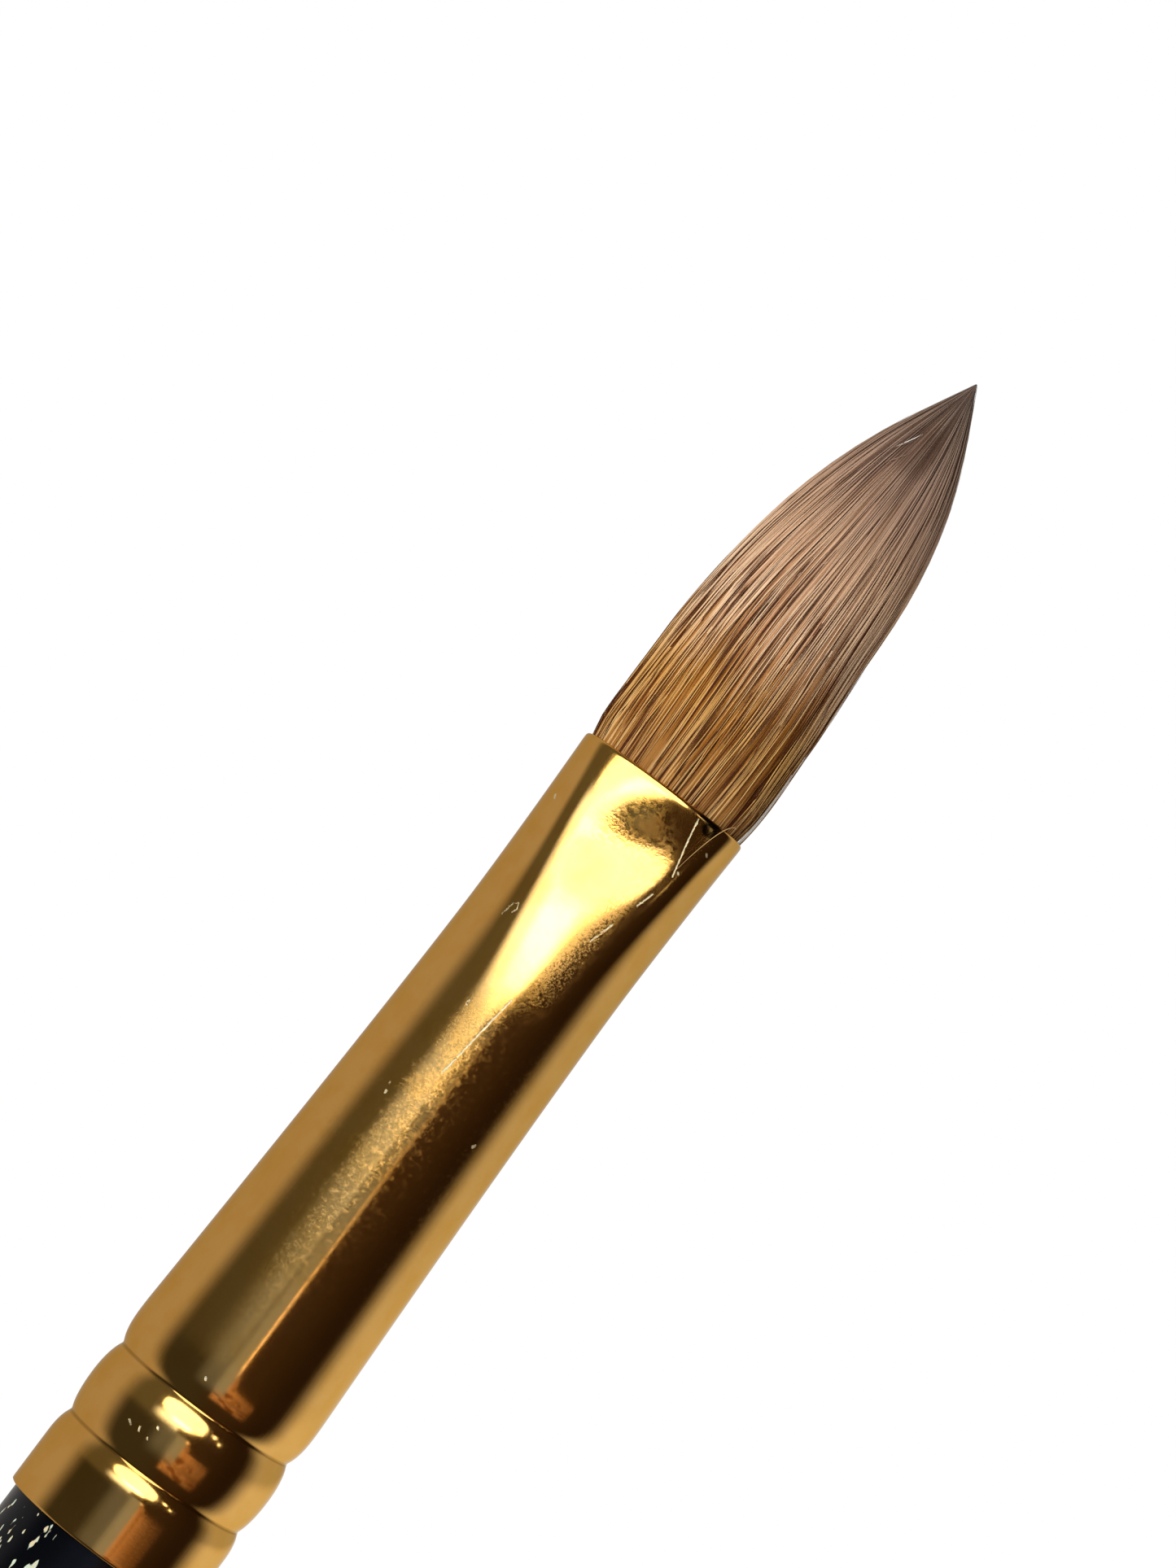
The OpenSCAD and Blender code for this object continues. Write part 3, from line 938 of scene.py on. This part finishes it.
def make_locks():
    """The small locks that the hair falls into, and the slits between some of them."""
    chance = np.random.default_rng(5)
    locks = {"angle": np.sort(even_angles(chance.uniform(0, 1, 58)))}
    locks["tone"] = chance.uniform(0, 1, 58)
    slit_angle = even_angles(chance.uniform(0, 1, 130))
    locks["slit_angle"] = slit_angle[np.abs(np.sin(slit_angle)) < 0.95]
    slits = len(locks["slit_angle"])
    locks["slit_height"] = chance.uniform(0.2, 8.5, slits) * mm
    locks["slit_long"] = chance.uniform(0.7, 2.6, slits) * mm
    locks["slit_wide"] = chance.uniform(0.01, 0.026, slits)
    return locks


def turned_apart(angle, height, locks):
    """Hairs beside a slit stand off from it to both sides."""
    moved = angle.copy()
    for slit_angle, slit_height, slit_long, slit_wide in zip(
        locks["slit_angle"], locks["slit_height"], locks["slit_long"], locks["slit_wide"]
    ):
        off = (angle - slit_angle + math.pi) % (2 * math.pi) - math.pi
        open_here = np.exp(-((height - slit_height) / slit_long) ** 2 * 2)
        moved = moved + np.sign(off) * slit_wide * np.exp(-(off / (2.2 * slit_wide)) ** 2) * open_here
    return moved


def tuft_outward(height, angle):
    """The level way that the tuft's outline faces, at a height and round it."""
    step = 0.01
    reach = tuft_reach(height, angle)
    change = (tuft_reach(height, angle + step) - tuft_reach(height, angle - step)) / (2 * step)
    sine, cosine = np.sin(angle), np.cos(angle)
    across = reach * sine - change * cosine
    deep = -reach * cosine - change * sine
    return np.stack([across, deep, 0 * across], axis=-1)


def comb_hair(name, count, seed, insets, thickness, locks, finish, run=None, tone=None):
    """Combed hairs lying side by side round the tuft, each between two depths under its surface.

    A run makes them short stretches instead, that surface for a while: the lowest and highest start
    and the least and most length. A tone gives two limits for how pale they are. All sizes are in mm."""
    chance = np.random.default_rng(seed)
    stations = 18 if run is None else 9
    angle = even_angles((np.arange(count) + chance.uniform(-0.5, 0.5, count)) / count)
    off = (angle[:, None] - locks["angle"][None, :] + math.pi) % (2 * math.pi) - math.pi
    nearest = np.argmin(np.abs(off), axis=1)
    pull = off[np.arange(count), nearest][:, None]

    def each(low, high):
        return chance.uniform(low, high, count)[:, None]

    if run is None:
        start = np.full((count, 1), -hair_in)
        ends = hair_out - (0.04 + np.abs(chance.normal(0, 0.06, count))) * mm
        short = chance.uniform(0, 1, count) < 0.5
        ends[short] = hair_out * chance.uniform(0.5, 0.99, short.sum())
        ends = ends[:, None]
    else:
        start = each(run[0], run[1]) * mm
        ends = np.minimum(start + each(run[2], run[3]) * mm, hair_out - 0.1 * mm)
    share = np.linspace(0, 1, stations)[None, :]
    height = start + (ends - start) * share
    along = np.clip(height / hair_out, 0, 1)

    drift = chance.normal(0, 0.028, count)[:, None] * np.sin(math.pi * along * each(0.6, 1.8))
    turned = turned_apart(angle[:, None] + drift - 0.1 * pull * along ** 2, height, locks)
    inset = each(*insets) * mm + 0.03 * mm
    inset = inset + 0.015 * mm * np.sin(each(0, 6.28) + along * each(2, 7))
    proud = np.cos(np.clip(pull * len(locks["angle"]) / 2.2, -math.pi, math.pi))
    inset = inset - proud * 0.025 * mm * smooth(0.05, 0.4, along) * (1 - along)
    thin = thickness * mm * each(0.7, 1.15)
    left = (ends - height) / (4.5 * mm)
    radii = thin * np.clip(left, 0.05, 1) ** 0.55
    if run is not None:
        radii = thin * np.clip(np.sin(math.pi * share), 0.06, 1)
    inset = np.minimum(inset, tuft_reach(height, turned) * 0.9)
    lines = hair_spot(height, turned, inset + radii)
    if tone is None:
        tones = 0.5 + 0.33 * chance.normal(0, 1, count) + 0.16 * (locks["tone"][nearest] - 0.5)
        tones = np.clip(tones[:, None] + 0.13 * np.sin(each(0, 6.28) + along * each(2, 9)), -0.2, 1.1)
    else:
        tones = each(*tone) * np.ones(stations)
    lock_tones = locks["tone"][nearest][:, None]
    outward = tuft_outward(height, turned)
    return strand_mesh(name, lines, radii, tones, along, lock_tones, finish, outward)


def curve_through(runs, stations):
    """Smooth lines from four places each, the middle two pulling them."""
    share = np.linspace(0, 1, stations)[None, :, None]
    a, b, c, d = (runs[:, None, index] for index in range(4))
    rest = 1 - share
    return a * rest ** 3 + 3 * b * share * rest ** 2 + 3 * c * share ** 2 * rest + d * share ** 3


def stray_hairs(finish):
    """Single hairs that left the tuft: across, above the mouth and out toward the front, in mm."""
    chance = np.random.default_rng(71)
    runs = [((2.75, 0.3, 1.5), (2.45, 0.25, 2.5), (2.15, -0.7, 2.64), (1.93, -2.1, 2.44))]
    tones = [1.1]
    for _ in range(14):
        out = chance.uniform(3.3, 3.42)
        deep = chance.uniform(-0.5, 0.5)
        top = chance.uniform(3.6, 5.6)
        runs.append(((3.06, -0.8, deep), (out, 0.5, deep), (out + 0.03, 2.2, deep), (3.16, top, deep * 0.9)))
        tones.append(0.5)
    # four hairs at the right edge are near white, painted highlights for the glassy sheen there
    for out, deep, top in ((3.28, 0.5, 4.4), (3.32, 0.7, 3.0), (3.27, 0.8, 3.8), (3.25, 0.95, 3.0)):
        runs.append(((3.0, -0.6, deep), (out, 0.3, deep), (out + 0.04, 1.6, deep), (3.2, top, deep * 0.9)))
        tones.append(1.8)
    runs = np.array(runs)
    curve = curve_through(runs, 18)
    lines = np.stack([curve[..., 0] * mm, -curve[..., 2] * mm, mouth + curve[..., 1] * mm], axis=-1)
    share = np.linspace(0, 1, 18)[None, :]
    thick = np.where(np.array(tones) > 1.5, 0.027, 0.02)[:, None] * mm
    radii = thick * (1 - 0.75 * share ** 2)
    along = np.clip(curve[..., 1] * mm / hair_out, 0, 1)
    return strand_mesh("hair_strays", lines, radii, np.array(tones)[:, None], along, 0.5 + 0 * along, finish)


def glint_hairs(finish):
    """A few near-white hairs near the tip, painted highlights for the light that hairs catch there: angle
    round it, two heights in mm and tone.
    """
    spots = ((-0.76, 14.35, 15.25, 1.8), (-0.8, 14.2, 14.9, 1.3), (-0.62, 13.7, 14.4, 1.1))
    share = np.linspace(0, 1, 9)[None, :]
    angle, low, high, tones = (np.array(part)[:, None] for part in zip(*spots))
    height = (low + (high - low) * share) * mm
    turned = angle + 0.26 * share
    radii = 0.016 * mm * np.clip(np.sin(math.pi * share), 0.1, 1) * np.ones((len(spots), 1))
    lines = hair_spot(height, turned, 0.0)
    along = height / hair_out
    outward = tuft_outward(height, turned)
    return strand_mesh("hair_glints", lines, radii, tones, along, 0.5 + 0 * along, finish, outward)


def make_tuft_body(finish):
    """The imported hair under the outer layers: a closed form with the tuft's outline."""
    tube_r = 3.0 * mm
    outline = [(mouth - hair_in, tube_r)]
    steps = list(np.linspace(-1.2, 16.8, 46)) + [17.0, 17.15]
    outline += [(mouth + step * mm, tube_r) for step in steps]
    body = draw_out("tuft_body", outline, 96)
    pick_open_edges()
    bpy.ops.mesh.edge_face_add()
    even_normals()
    spots = points(body)
    height = spots[:, 2] - mouth
    angle = np.arctan2(spots[:, 0], -spots[:, 1])
    under = 0.17 * mm * np.minimum(1, tuft_reach(height, angle) / (0.8 * mm))
    set_points(body, hair_spot(height, angle, under))
    set_marks(body.data, "tone", np.full(len(spots), 0.3))
    set_marks(body.data, "along", np.clip(height / hair_out, 0, 1))
    set_marks(body.data, "lock", np.full(len(spots), 0.5))
    body.data.materials.append(finish)
    set_hair(body, "hair_root", "hair_tuft")


def make_tuft():
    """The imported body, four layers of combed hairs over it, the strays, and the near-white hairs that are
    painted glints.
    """
    outer = hair_finish("combed hair", 0.0)
    under = hair_finish("packed hair in painted shade", 0.6)
    locks = make_locks()
    make_tuft_body(under)
    for name, count, seed, insets, thickness, run, tone in (
        ("hair_outer", 1150, 11, (0.0, 0.1), 0.035, None, None),
        ("hair_inner", 1400, 23, (0.11, 0.18), 0.042, None, None),
        ("hair_pale", 560, 37, (-0.045, -0.02), 0.023, (-1, 11, 3, 9), (0.8, 1.2)),
        # short near-black hairs on the surface stand in for the shadowed gaps between locks: painted shade
        ("hair_gap_shade", 480, 41, (-0.05, -0.03), 0.017, (-1, 7, 1.2, 4.5), (-0.3, 0.05)),
    ):
        set_hair(comb_hair(name, count, seed, insets, thickness, locks, outer, run, tone))
    set_hair(stray_hairs(outer))
    set_hair(glint_hairs(outer))


# ---------------------------------------------------------------- making the brush


make_ferrule()
make_handle()
make_tuft()

wood = plain_finish("maple", (206, 170, 120), (186, 146, 96), 900.0, 0.55, 0.02 * mm, 0.06)
undercoat = plain_finish("undercoat", (222, 214, 196), (206, 196, 176), 1500.0, 0.5, 0.01 * mm)
glue = plain_finish("glue", (196, 158, 92), (170, 128, 66), 700.0, 0.3, 0.01 * mm)
resin = plain_finish("resin", (150, 84, 30), (116, 62, 22), 700.0, 0.2, 0.01 * mm)
thread = plain_finish("thread", (226, 220, 204), (196, 188, 168), 2500.0, 0.8, 0.02 * mm, 4.0)
# the pieces that are out of sight keep their solids, each with a finish of its own
for node, material in (
    ("handle_core", wood),
    ("handle_primer", undercoat),
    ("handle_glue", glue),
    ("resin_plug", resin),
    ("binding_thread", thread),
):
    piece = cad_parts[node]
    for slot in piece.material_slots:
        slot.material = material

bpy.context.scene.view_settings.view_transform = "Standard"
